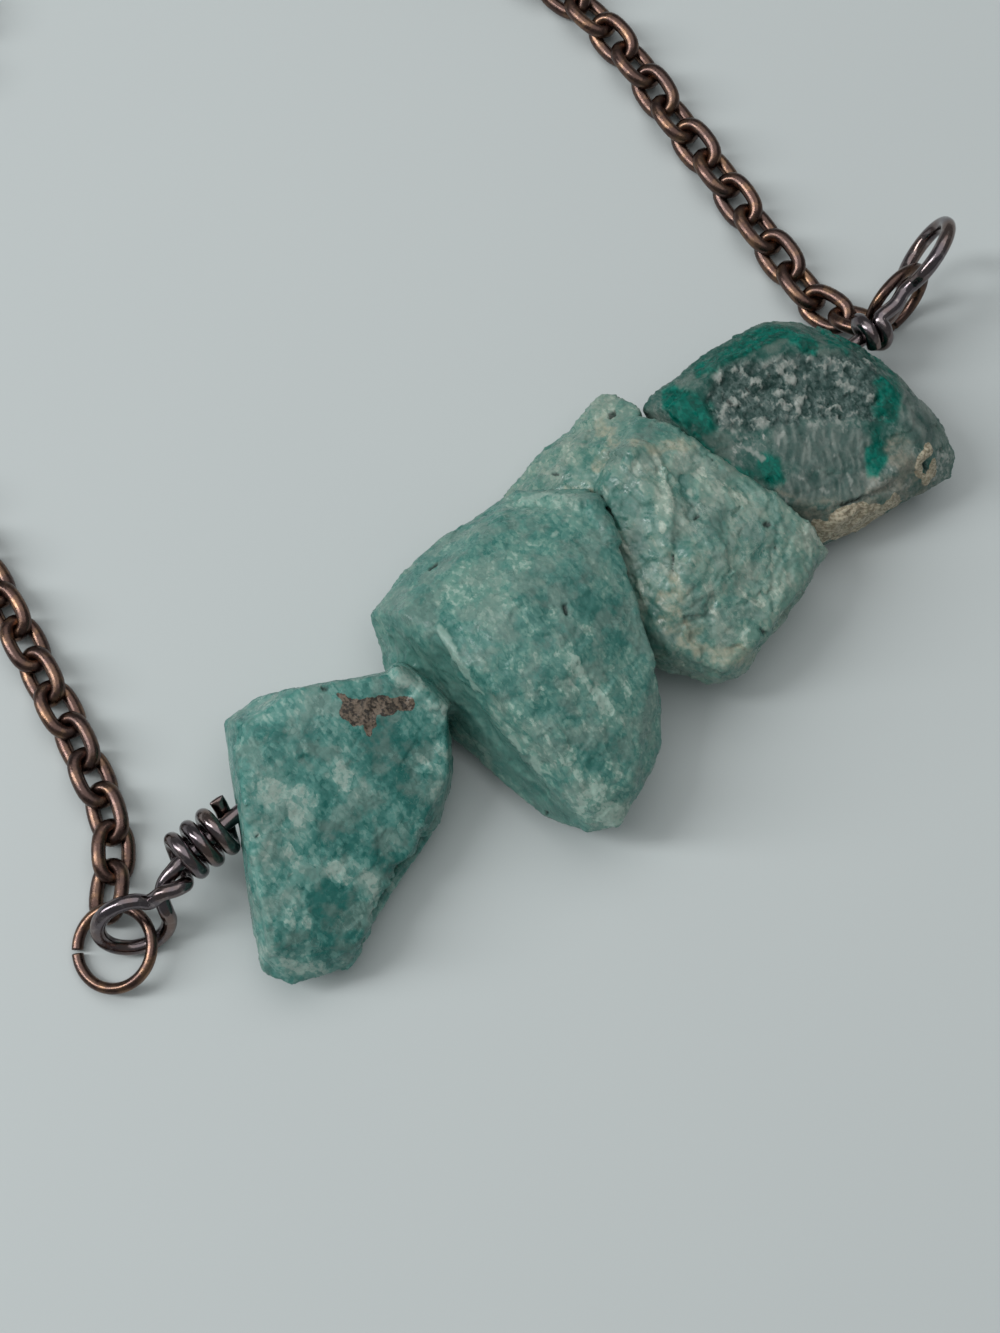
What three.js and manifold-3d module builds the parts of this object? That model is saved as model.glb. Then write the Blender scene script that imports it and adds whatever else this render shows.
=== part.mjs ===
// Rough amazonite bar: four raw amazonite nuggets strung on one copper wire, which is looped and wrapped
// at both ends, with a jump ring in each loop and the cable chain that joins them.
// Millimetres, +Z up, +X along the wire from the left loop to the right one. It lies on z = 0.
import * as THREE from "three";
import { ConvexGeometry } from "three/addons/geometries/ConvexGeometry.js";
import { mergeVertices } from "three/addons/utils/BufferGeometryUtils.js";
import Module from "manifold-3d";

// ---- driving dimensions ----
const WIRE_RADIUS = 0.5; // 18 gauge
const WIRE_HEIGHT = 4.4; // the bar's axis above the table
const WIRE_Y = 1.8; // the bar's axis in plan
// Radius to the middle of the wire. Bunching is how much of the pitch is taken up underneath the bar.
const LEFT_WRAP = { start: -24.88, pitch: 1.22, turns: 3.1, radius: 1.35, y: 1.6, from: -162, bunching: 0.14 };
const RIGHT_WRAP = { start: 34.1, pitch: -1.07, turns: 1.15, radius: 1.12, y: WIRE_Y, from: 90, bunching: 0 };
const LEFT_LOOP_RADIUS = 2.25; // middle of the wire
const RIGHT_LOOP_RADIUS = 2.45;
const HOLE_RADIUS = 0.8; // drilled through each stone
const STONE_GAP = 0.34; // between neighbouring stones
const RING_RADIUS = 2.6; // jump ring, middle of its wire
const RING_WIRE_RADIUS = 0.38;
const RING_OPENING = 6; // degrees left between the cut ends of a jump ring
const CHAIN_RADIUS = 1.4; // half the width of the links
const CHAIN_STEPS = 16;
const COIL_CENTRE = [-12.05, 73.2];
const COIL_INNER_TURN = 12.8; // middle of the chain in the inner bottom turn
const COIL_OUTER_TURN = 15.6;
const COIL_HEIGHT = 5.25; // two layers of turns
const CENTRE = [4.18, -2.15]; // the middle of the bar in plan, which becomes the origin
const WIRE_SIDES = 8;
const WIRE_STEPS = 300;
const RING_STEPS = 36;
const HOLE_SIDES = 12;

// ---- materials ----
const material = (color, roughness, metalness = 0) =>
  new THREE.MeshStandardMaterial({ color, roughness, metalness });
const LOOKS = {
  teal: material(0x4f9a8c, 0.55),
  mint: material(0x7db9a6, 0.55),
  pale: material(0x93bfae, 0.6),
  emerald: material(0x2f7a6a, 0.6),
  wire: material(0x5a4a47, 0.3, 1),
  copper: material(0x7a4632, 0.35, 1),
  chain: material(0x6b4027, 0.4, 1),
};

// ---- joining and cutting ----
const wasm = await Module();
wasm.setup();

function solid(geometry) {
  const bare = new THREE.BufferGeometry();
  bare.setAttribute("position", geometry.getAttribute("position"));
  if (geometry.index) bare.setIndex(geometry.index);
  const merged = mergeVertices(bare, 1e-4);
  const vertProperties = merged.attributes.position.array;
  const triVerts = new Uint32Array(merged.index.array);
  return new wasm.Manifold(new wasm.Mesh({ numProp: 3, vertProperties, triVerts }));
}

function geometryOf(body) {
  const mesh = body.getMesh();
  const geometry = new THREE.BufferGeometry();
  geometry.setAttribute("position", new THREE.BufferAttribute(mesh.vertProperties, 3));
  geometry.setIndex(new THREE.BufferAttribute(mesh.triVerts, 1));
  geometry.computeVertexNormals();
  return geometry;
}

// ---- stones ----
const vectors = (points) => points.map((p) => new THREE.Vector3(...p));
const hull = (...rings) => solid(new ConvexGeometry(vectors(rings.flat())));

// The space on one side of a plane between two neighbours. `heading` is the direction of its level
// line in plan and `lean` how far the left stone hangs over the right one, both in degrees.
function beside({ at, heading, lean }, side) {
  const reach = 60;
  const along = new THREE.Vector3(1, 0, 0).applyAxisAngle(
    new THREE.Vector3(0, 0, 1),
    THREE.MathUtils.degToRad(heading),
  );
  const across = new THREE.Vector3(-along.y, along.x, 0);
  across.applyAxisAngle(along, THREE.MathUtils.degToRad(-lean));
  const upwards = new THREE.Vector3().crossVectors(along, across);
  const place = new THREE.Matrix4().makeBasis(along, across, upwards);
  const middle = new THREE.Vector3(...at).addScaledVector(across, side * (reach / 2 - STONE_GAP / 2));
  place.setPosition(middle);
  return solid(new THREE.BoxGeometry(reach, reach, reach).applyMatrix4(place));
}

const LEFT_OF_LARGE = { at: [-5.2, -0.9, 4.5], heading: -82, lean: 18 };
const LARGE_OF_SLAB = { at: [8.5, -2.5, 8.6], heading: -111, lean: 5 };
const LARGE_OF_LOBE = { at: [8.9, 5.6, 5.8], heading: -46, lean: 8 };
const SLAB_OF_GREEN = { at: [18.9, -0.6, 7.4], heading: -73, lean: 10 };
const LOBE_OF_GREEN = { at: [17.5, 7.0, 4.5], heading: -90, lean: 0 };

function drilled(stone) {
  const drill = new THREE.CylinderGeometry(HOLE_RADIUS, HOLE_RADIUS, 120, HOLE_SIDES);
  drill.rotateZ(Math.PI / 2);
  drill.translate(0, WIRE_Y, WIRE_HEIGHT);
  return stone.subtract(solid(drill));
}

function leftNugget() {
  const top = [
    [-16.3, 5.2, 7.9], [-12.3, 4.6, 8.5], [-6.9, 1.8, 8.0], [-5.8, -1.8, 6.8], [-8.0, -4.7, 5.6],
    [-13.9, -7.5, 4.6], [-19.2, -9.4, 4.0], [-23.3, -6.5, 5.8], [-18.8, 1.7, 8.4],
  ];
  const girdle = [
    [-16.9, 7.0, 4.6], [-18.3, 4.5, 3.8], [-22.0, -2.5, 2.6], [-24.6, -7.0, 3.0], [-23.6, -8.7, 2.8],
    [-20.2, -10.1, 2.2], [-14.4, -7.9, 2.0], [-10.8, -6.8, 2.2], [-7.3, -4.1, 2.6], [-4.9, -0.6, 4.3],
    [-5.5, 1.1, 4.8], [-6.0, 2.7, 4.8], [-14.4, 6.9, 4.6],
  ];
  const foot = [
    [-15.5, 5.7, 0], [-8.6, 3.4, 0], [-7.5, -2.2, 0], [-12.0, -4.6, 0], [-20.5, -7.7, 0],
    [-22.6, -6.1, 0], [-20.3, -0.6, 0],
  ];
  return drilled(hull(top, girdle, foot).subtract(beside(LEFT_OF_LARGE, 1)));
}

function largeNugget() {
  const top = [
    [-4.1, 4.6, 8.4], [-3.3, 1.7, 9.6], [-3.8, -2.0, 9.8], [-3.4, -5.8, 9.2], [-2.9, -9.6, 8.2],
    [-2.5, -12.3, 6.8], [0.8, -12.4, 6.8], [6.6, -7.1, 8.2], [9.2, 0.1, 9.2], [9.8, 2.7, 8.6],
    [4.3, 5.4, 8.4], [-0.5, 5.2, 8.0], [1.6, 0.0, 11.0], [2.0, -3.4, 10.6],
  ];
  const girdle = [
    [-5.2, 6.9, 4.6], [-6.4, 4.0, 2.0], [-5.6, 2.2, 5.2], [-5.3, 0.5, 5.4], [-6.1, 1.0, 2.0],
    [-5.7, -2.3, 2.0], [-5.0, -6.7, 2.0],
    [-4.4, -10.1, 2.4], [-3.2, -12.8, 3.6], [-1.6, -13.9, 5.0], [0.4, -13.2, 5.2], [3.9, -11.6, 5.0],
    [9.4, -4.3, 5.4], [11.4, 3.7, 6.2], [6.8, 7.5, 5.2], [1.3, 8.0, 5.0], [-0.6, 7.9, 5.0],
  ];
  const foot = [
    [-3.4, 5.1, 0], [4.7, 5.9, 0], [8.1, -0.5, 0], [4.8, -6.8, 0], [-1.2, -10.7, 0],
    [-4.5, -2.5, 0], [-5.0, 1.9, 0],
  ];
  const cut = [beside(LEFT_OF_LARGE, -1), beside(LARGE_OF_SLAB, 1), beside(LARGE_OF_LOBE, 1)];
  return drilled(cut.reduce((stone, space) => stone.subtract(space), hull(top, girdle, foot)));
}

function slabNugget() {
  const top = [
    [10.4, 3.4, 8.2], [13.6, 3.8, 9.0], [17.7, 2.4, 8.0], [18.7, -2.4, 7.8], [20.7, -6.4, 6.8],
    [19.6, -8.4, 6.2], [14.2, -10.1, 6.6], [9.8, -10.4, 5.6], [8.0, -6.7, 6.8], [12.2, -4.0, 8.8],
  ];
  const girdle = [
    [6.7, 2.1, 5.0], [17.2, 6.6, 6.2], [19.4, -2.3, 6.4], [21.5, -7.6, 5.2], [20.6, -8.4, 4.6],
    [14.6, -10.2, 4.2], [11.5, -11.0, 3.8], [9.2, -10.2, 3.4], [8.5, -8.8, 3.6], [6.5, -5.6, 4.0],
  ];
  const foot = [
    [10.4, 5.4, 0], [15.9, 6.9, 0], [17.7, 5.7, 0], [18.5, 1.3, 0], [20.2, -5.6, 0],
    [16.6, -7.3, 0], [12.5, -8.5, 0], [8.1, -0.3, 0],
  ];
  const lobe = [
    [6.3, 8.3, 2.6], [10.8, 9.3, 3.0], [16.0, 9.6, 3.8], [16.9, 9.1, 4.3], [17.4, 6.9, 5.8],
    [14.2, 4.4, 7.6], [12.0, 7.1, 5.8], [8.2, 5.9, 5.6], [11.2, 2.6, 7.4], [9.6, 7.6, 0],
    [15.9, 8.7, 0], [17.0, 5.0, 0], [10.4, 2.0, 0],
  ];
  const body = hull(top, girdle, foot).subtract(beside(LARGE_OF_SLAB, -1));
  const shoulder = hull(lobe).subtract(beside(LARGE_OF_LOBE, -1)).subtract(beside(LOBE_OF_GREEN, 1));
  return drilled(body.subtract(beside(SLAB_OF_GREEN, 1)).add(shoulder));
}

function greenNugget() {
  const top = [
    [18.4, 5.2, 6.8], [22.8, 5.2, 7.6], [25.8, 4.6, 7.9], [28.3, 3.0, 8.0], [30.0, 0.3, 7.9],
    [30.5, -2.6, 7.6], [30.3, -5.1, 7.0], [29.2, -7.1, 6.2], [23.4, -7.0, 5.4], [18.0, -1.9, 6.0],
  ];
  const girdle = [
    [17.6, 6.9, 4.8], [18.6, 7.3, 5.0], [24.8, 7.1, 5.4], [27.9, 6.4, 5.6], [29.7, 4.8, 5.6],
    [31.5, 2.2, 5.2], [32.5, -1.9, 5.0], [32.5, -5.8, 4.8], [32.0, -8.4, 4.0], [31.2, -9.2, 3.2],
    [28.3, -8.4, 2.4], [24.1, -7.4, 2.0], [21.0, -7.0, 2.2], [16.8, 1.5, 2.6],
  ];
  const foot = [
    [19.6, 6.3, 0], [25.8, 6.5, 0], [30.1, 5.0, 0], [31.2, -2.8, 0], [30.1, -7.1, 0],
    [25.1, -5.8, 0], [20.4, -1.5, 0],
  ];
  const stone = hull(top, girdle, foot);
  return drilled(stone.subtract(beside(SLAB_OF_GREEN, -1)).subtract(beside(LOBE_OF_GREEN, -1)));
}

// ---- wire ----
function rod(points, radius, steps, sides = WIRE_SIDES) {
  const path = new THREE.CatmullRomCurve3(vectors(points), false, "centripetal");
  path.arcLengthDivisions = 2000;
  const section = new THREE.Shape();
  section.absarc(0, 0, radius, 0, 2 * Math.PI);
  const outline = new THREE.Shape(section.getSpacedPoints(sides).slice(0, sides));
  const options = { extrudePath: path, steps, bevelEnabled: false };
  return new THREE.ExtrudeGeometry(outline, options);
}

// A point on a circle about `centre`, whose plane holds the directions `u` and `w`.
function onCircle({ centre, u, w, radius }, degrees) {
  const angle = THREE.MathUtils.degToRad(degrees);
  return new THREE.Vector3(...centre)
    .addScaledVector(new THREE.Vector3(...u), radius * Math.cos(angle))
    .addScaledVector(new THREE.Vector3(...w), radius * Math.sin(angle))
    .toArray();
}

function arc(circle, from, to, count) {
  return Array.from({ length: count + 1 }, (_, i) => onCircle(circle, from + ((to - from) * i) / count));
}

const LEFT_LOOP = {
  centre: [-29.2, 0.55, 2.55],
  u: [0.934, -0.345, 0.093],
  w: [-0.085, -0.469, -0.879],
  radius: LEFT_LOOP_RADIUS,
};
const RIGHT_LOOP = {
  centre: [39.54, 3.39, 5.81],
  u: [0.912, 0.328, 0.245],
  w: [-0.096, -0.41, 0.907],
  radius: RIGHT_LOOP_RADIUS,
};

// Turns round the bar's axis. The angle of each point is seen from +X.
function wraps({ start, pitch, turns, radius, y, from, bunching }) {
  const perTurn = 10;
  const count = Math.round(turns * perTurn);
  return Array.from({ length: count + 1 }, (_, i) => {
    const turn = i / perTurn;
    const angle = THREE.MathUtils.degToRad(from + 360 * turn);
    return [
      start + pitch * (turn + bunching * Math.cos(angle)),
      y + radius * Math.cos(angle),
      WIRE_HEIGHT + radius * Math.sin(angle),
    ];
  });
}

function barWire() {
  const leftTail = [
    [-20.4, 3.2, 4.9], [-20.42, 2.9, 4.35], [-20.48, 2.6, 3.85], [-20.65, 2.1, 3.3], [-20.98, 1.45, 3.05],
  ];
  const leftWraps = wraps(LEFT_WRAP).reverse();
  const leftCrossing = [[-25.2, 0.15, 4.45], [-25.8, 0.2, 4.75], [-26.6, 0.5, 4.75]];
  const leftLoop = arc(LEFT_LOOP, 315, -5, 14);
  const leftNeck = [[-26.8, 0.6, 3.5], [-26.1, 1.15, 4.0], [-25.2, 1.35, 4.35]];
  const leftCore = [[-24.4, 1.5, 4.4], [-22.4, 1.55, 4.4], [-20.7, 1.73, 4.4]];
  const core = [-16, 0, 14, 28, 34].map((x) => [x, WIRE_Y, WIRE_HEIGHT]);
  const rightNeck = [[35.2, 1.85, 4.45], [36.3, 2.2, 4.55], [37.2, 2.7, 4.45]];
  const rightLoop = arc(RIGHT_LOOP, 205, 515, 14);
  const rightCrossing = [[36.7, 2.3, 5.75], [35.6, 1.95, 5.65]];
  const route = [
    ...leftTail, ...leftWraps, ...leftCrossing, ...leftLoop, ...leftNeck, ...leftCore, ...core,
    ...rightNeck, ...rightLoop, ...rightCrossing, ...wraps(RIGHT_WRAP),
  ];
  return solid(rod(route, WIRE_RADIUS, WIRE_STEPS));
}

// ---- jump rings ----
function jumpRing(circle, openingAt) {
  const half = RING_OPENING / 2;
  return rod(arc(circle, openingAt + half, openingAt + 360 - half, 24), RING_WIRE_RADIUS, RING_STEPS);
}

const LEFT_RING = {
  centre: [-31.05, 0.45, 1.2],
  u: [0.895, -0.331, 0.298],
  w: [0.347, 0.938, 0],
  radius: RING_RADIUS,
};
const RIGHT_RING = {
  centre: [37.06, 2.8, 2.95],
  u: [0.9977, 0.0673, 0],
  w: [-0.0147, 0.2177, 0.9759],
  radius: RING_RADIUS,
};

// ---- chain ----
const LEFT_CHAIN = [
  [-29.35, 3.5, 1.42], [-27.4, 5.7, 1.42], [-26.4, 7.7, 1.42], [-25.7, 10.2, 1.42], [-24.9, 14.0, 1.42],
  [-24.3, 18.0, 1.42], [-23.4, 23.4, 1.42], [-22.8, 31.0, 1.42], [-23.5, 40.0, 1.42],
  [-25.7, 50.0, 1.42], [-28.5, 60.0, 1.42], [-30.25, 68.2, 1.42],
];
const RIGHT_CHAIN = [
  [6.4, 76.65, 2.9], [9.2, 74.4, 1.75], [12.6, 71.6, 1.42], [17.0, 67.8, 1.42], [21.1, 63.2, 1.42],
  [24.9, 57.9, 1.42], [28.6, 52.0, 1.42], [33.0, 43.5, 1.42], [35.4, 36.0, 1.42], [35.6, 29.1, 1.42],
  [35.0, 24.1, 1.42], [34.6, 18.9, 1.42], [34.0, 13.8, 1.42], [33.8, 11.2, 1.42], [33.55, 8.8, 1.42],
  [33.4, 6.6, 1.5], [33.8, 4.8, 1.8], [34.33, 3.27, 2.35],
];

function coil() {
  const low = 0.02;
  const profile = [
    [COIL_INNER_TURN - CHAIN_RADIUS, low],
    [COIL_OUTER_TURN + CHAIN_RADIUS, low],
    [COIL_OUTER_TURN + CHAIN_RADIUS, 2 * CHAIN_RADIUS],
    [(COIL_INNER_TURN + COIL_OUTER_TURN) / 2 + CHAIN_RADIUS, COIL_HEIGHT],
    [(COIL_INNER_TURN + COIL_OUTER_TURN) / 2 - CHAIN_RADIUS, COIL_HEIGHT],
    [COIL_INNER_TURN - CHAIN_RADIUS, 2 * CHAIN_RADIUS],
    [COIL_INNER_TURN - CHAIN_RADIUS, low],
  ].map((p) => new THREE.Vector2(...p));
  const ring = new THREE.LatheGeometry(profile, 36);
  ring.rotateX(Math.PI / 2);
  ring.translate(COIL_CENTRE[0], COIL_CENTRE[1], 0);
  return ring;
}

// ---- the part ----
const bar = new THREE.Group();
bar.position.set(-CENTRE[0], -CENTRE[1], 0);

function place(name, geometry, look) {
  const mesh = new THREE.Mesh(geometry, look);
  mesh.name = name;
  bar.add(mesh);
}

place("left_nugget", geometryOf(leftNugget()), LOOKS.teal);
place("large_nugget", geometryOf(largeNugget()), LOOKS.mint);
place("slab_nugget", geometryOf(slabNugget()), LOOKS.pale);
place("green_nugget", geometryOf(greenNugget()), LOOKS.emerald);
place("bar_wire", geometryOf(barWire()), LOOKS.wire);
place("left_jump_ring", jumpRing(LEFT_RING, 166), LOOKS.copper);
place("right_jump_ring", jumpRing(RIGHT_RING, 262), LOOKS.copper);
place("left_chain", rod(LEFT_CHAIN, CHAIN_RADIUS, CHAIN_STEPS), LOOKS.chain);
place("right_chain", rod(RIGHT_CHAIN, CHAIN_RADIUS, CHAIN_STEPS), LOOKS.chain);
place("chain_coil", coil(), LOOKS.chain);

export default bar;
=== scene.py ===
"""Looks of the rough amazonite bar: four strung stones with their wire, jump rings and cable chain.

Lengths are in metres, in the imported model's frame. Pixels are those of the 1000 x 1333 photograph.
"""
import math

import bmesh
import bpy
import numpy as np
from mathutils import Matrix, Vector, noise


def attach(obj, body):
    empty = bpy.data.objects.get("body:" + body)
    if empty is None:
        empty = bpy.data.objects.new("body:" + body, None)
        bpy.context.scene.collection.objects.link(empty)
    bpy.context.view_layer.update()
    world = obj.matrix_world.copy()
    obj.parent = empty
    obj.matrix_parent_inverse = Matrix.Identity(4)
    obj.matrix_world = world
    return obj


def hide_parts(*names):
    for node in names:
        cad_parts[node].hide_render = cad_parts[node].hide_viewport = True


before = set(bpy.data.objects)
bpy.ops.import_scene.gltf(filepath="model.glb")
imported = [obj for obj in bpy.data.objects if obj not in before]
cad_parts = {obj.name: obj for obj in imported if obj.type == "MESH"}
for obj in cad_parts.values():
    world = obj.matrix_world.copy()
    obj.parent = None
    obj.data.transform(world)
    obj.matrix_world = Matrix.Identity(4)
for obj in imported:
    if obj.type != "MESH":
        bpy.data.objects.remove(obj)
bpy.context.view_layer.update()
MM = 0.001
BODY = "root"

# ---- camera ----
PHOTO_SIZE = (1000, 1333)
FOCAL_PIXELS = 2200
SENSOR_MM = 36.0  # along the photograph's long side
PIXELS_PER_METRE = 15000  # on the floor, in the middle of the picture
CAMERA_ELEVATION = math.radians(73.5)
CAMERA_HEADING = math.radians(38.6)  # from +Y towards +X
AIM = np.array([-0.00418, 0.00215, 0.0])  # on the floor, in the middle of the picture

FORWARD = np.array([
    math.sin(CAMERA_HEADING) * math.cos(CAMERA_ELEVATION),
    math.cos(CAMERA_HEADING) * math.cos(CAMERA_ELEVATION),
    -math.sin(CAMERA_ELEVATION),
])
RIGHT = np.array([math.cos(CAMERA_HEADING), -math.sin(CAMERA_HEADING), 0.0])
TOWARDS_CAMERA = np.array([-math.sin(CAMERA_HEADING), -math.cos(CAMERA_HEADING), 0.0])  # over the floor
UP = np.cross(RIGHT, FORWARD)
EYE = AIM - FORWARD * FOCAL_PIXELS / PIXELS_PER_METRE


def make_camera():
    data = bpy.data.cameras.new("camera")
    data.sensor_width = SENSOR_MM
    data.lens = SENSOR_MM * FOCAL_PIXELS / PHOTO_SIZE[1]
    data.clip_start = 0.005
    data.clip_end = 20.0
    camera = bpy.data.objects.new("camera", data)
    bpy.context.scene.collection.objects.link(camera)
    axes = Matrix([RIGHT, UP, -FORWARD]).transposed()
    camera.matrix_world = Matrix.Translation(Vector(EYE)) @ axes.to_4x4()
    bpy.context.scene.camera = camera


def pixels_of(points):
    """Where the camera sees each point, as pixels across and down."""
    away = points - EYE
    reach = FOCAL_PIXELS / (away @ FORWARD)
    across = PHOTO_SIZE[0] / 2 + away @ RIGHT * reach
    down = PHOTO_SIZE[1] / 2 - away @ UP * reach
    return np.stack([across, down], axis=1)


make_camera()

# ---- lines ----
BAR_CENTRE = np.array([0.00418, -0.00215, 0.0])  # the model's origin, in the frame of the routes below
CURVE_STEPS = 40  # from each point of a route to the next


def placed(points):
    """Points of a route, in the model's frame."""
    return np.array(points, float) - BAR_CENTRE


def rise(value, start, end):
    """Goes evenly from 0 at start to 1 at end, and stays there."""
    return np.clip((value - start) / (end - start), 0, 1)


def length_along(line):
    """How far along the line each of its points is."""
    return np.concatenate([[0], np.cumsum(np.linalg.norm(np.diff(line, axis=0), axis=1))])


def point_at(line, at):
    """The place on the line at this length along it, or a row for each of several lengths."""
    along = length_along(line)
    return np.stack([np.interp(at, along, line[:, axis]) for axis in range(3)], axis=-1)


def spaced(line, step):
    """The line again, with its points `step` apart."""
    length = length_along(line)[-1]
    return point_at(line, np.linspace(0, length, max(2, round(length / step) + 1)))


def smooth_line(points, step):
    """A centripetal Catmull-Rom curve through the points."""
    p = np.array(points, float)
    p = np.vstack([2 * p[0] - p[1], p, 2 * p[-1] - p[-2]])
    t = np.linspace(0, 1, CURVE_STEPS, endpoint=False)[:, None]
    stretches = []
    for before, start, end, after in zip(p, p[1:], p[2:], p[3:]):
        gaps = ((before, start), (start, end), (end, after))
        d0, d1, d2 = (math.sqrt(np.linalg.norm(b - a)) for a, b in gaps)
        leaving = ((start - before) / d0 - (end - before) / (d0 + d1)) * d1 + end - start
        arriving = ((after - end) / d2 - (after - start) / (d1 + d2)) * d1 + end - start
        turn = 2 * start - 2 * end + leaving + arriving
        bend = 3 * end - 3 * start - 2 * leaving - arriving
        stretches.append(start + leaving * t + bend * t**2 + turn * t**3)
    return spaced(np.vstack([*stretches, p[-2:-1]]), step)


def circle_points(circle, start, end, count):
    """Points from one angle to another, in degrees, on a circle given by its centre, two directions
    in its plane and its radius."""
    centre, u, w, radius = circle
    angles = np.radians(np.linspace(start, end, count + 1))[:, None]
    return np.array(centre) + radius * (np.cos(angles) * np.array(u) + np.sin(angles) * np.array(w))


# ---- meshes ----
def new_mesh(name, vertices, faces):
    mesh = bpy.data.meshes.new(name)
    mesh.from_pydata(vertices.tolist(), [], faces)
    return mesh


def add_piece(name, mesh, slot, *nodes):
    """A smooth-shaded piece that rides on the bar and stands for these CAD nodes."""
    mesh.shade_smooth()
    piece = bpy.data.objects.new(name, mesh)
    bpy.context.scene.collection.objects.link(piece)
    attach(piece, BODY)
    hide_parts(*nodes)
    mesh.materials.clear()
    mesh.materials.append(MATERIALS[slot]())
    return piece


def frames_along(line, closed=False):
    """Two directions across the line at each of its points, turning as little as they can."""
    if closed:
        tangents = np.roll(line, -1, axis=0) - np.roll(line, 1, axis=0)
    else:
        tangents = np.gradient(line, axis=0)
    tangents /= np.linalg.norm(tangents, axis=1)[:, None]
    across = np.cross(tangents[0], [0.0, 0.0, 1.0])
    if np.linalg.norm(across) < 0.1:
        across = np.cross(tangents[0], [0.0, 1.0, 0.0])
    sides = []
    for tangent in tangents:
        across = across - tangent * (across @ tangent)
        across /= np.linalg.norm(across)
        sides.append(across)
    sides = np.array(sides)
    return sides, np.cross(tangents, sides)


def rod(line, radius, sides, closed=False, taper=None):
    """Vertices and quads of a rod along a line. `taper` flattens it, by a factor for each of its points."""
    first, second = frames_along(line, closed)
    angles = np.linspace(0, 2 * math.pi, sides, endpoint=False)
    taper = np.ones(len(line)) if taper is None else taper
    ring = (
        first[:, None] * np.cos(angles)[None, :, None]
        + second[:, None] * (np.sin(angles)[None, :] * taper[:, None])[:, :, None]
    )
    vertices = (line[:, None] + radius * ring).reshape(-1, 3)
    rows = len(line) if closed else len(line) - 1
    row, column = np.meshgrid(np.arange(rows), np.arange(sides), indexing="ij")
    here = row * sides
    there = (row + 1) % len(line) * sides
    beside = (column + 1) % sides
    quads = np.stack([here + column, here + beside, there + beside, there + column], axis=2)
    return vertices, quads.reshape(-1, 4)


CAP_RING = 0.8  # a cap's inner ring, as a part of the rod's radius
CAP_RING_OUT = 0.25  # how far that ring stands out, in steps of the rod
CAP_MIDDLE_OUT = 0.3


def capped(vertices, faces, sides):
    """Closes both ends of an open rod with a slightly bulging cap."""
    rings = (vertices[:sides], vertices[-sides:])
    inner_rings = (vertices[sides:2 * sides], vertices[-2 * sides:-sides])
    starts = (0, len(vertices) - sides)
    ends, added = [], []
    for ring, inner_ring, start, flip in zip(rings, inner_rings, starts, (True, False)):
        centre = ring.mean(axis=0)
        inwards = inner_ring.mean(axis=0) - centre
        base = len(vertices) + len(ends)
        ends += list(centre + (ring - centre) * CAP_RING - inwards * CAP_RING_OUT)
        ends += [centre - inwards * CAP_MIDDLE_OUT]
        for i in range(sides):
            j = (i + 1) % sides
            outer = [start + i, start + j, base + j, base + i]
            middle = [base + i, base + j, base + sides]
            added += [outer[::-1], middle[::-1]] if flip else [outer, middle]
    return np.vstack([vertices, ends]), [*faces.tolist(), *added]


def add_rod(name, line, radius, sides, slot, node, taper=None):
    mesh = new_mesh(name, *capped(*rod(line, radius, sides, taper=taper), sides))
    repair = bmesh.new()
    repair.from_mesh(mesh)
    bmesh.ops.recalc_face_normals(repair, faces=repair.faces)
    repair.to_mesh(mesh)
    repair.free()
    add_piece(name, mesh, slot, node)


# ---- shader nodes ----
def rgb(red, green, blue):
    """A colour given as it looks on a screen, 0 to 255, in the shader's linear values."""
    def linear(value):
        value = value / 255
        return value / 12.92 if value <= 0.04045 else ((value + 0.055) / 1.055) ** 2.4
    return linear(red), linear(green), linear(blue), 1.0


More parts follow.
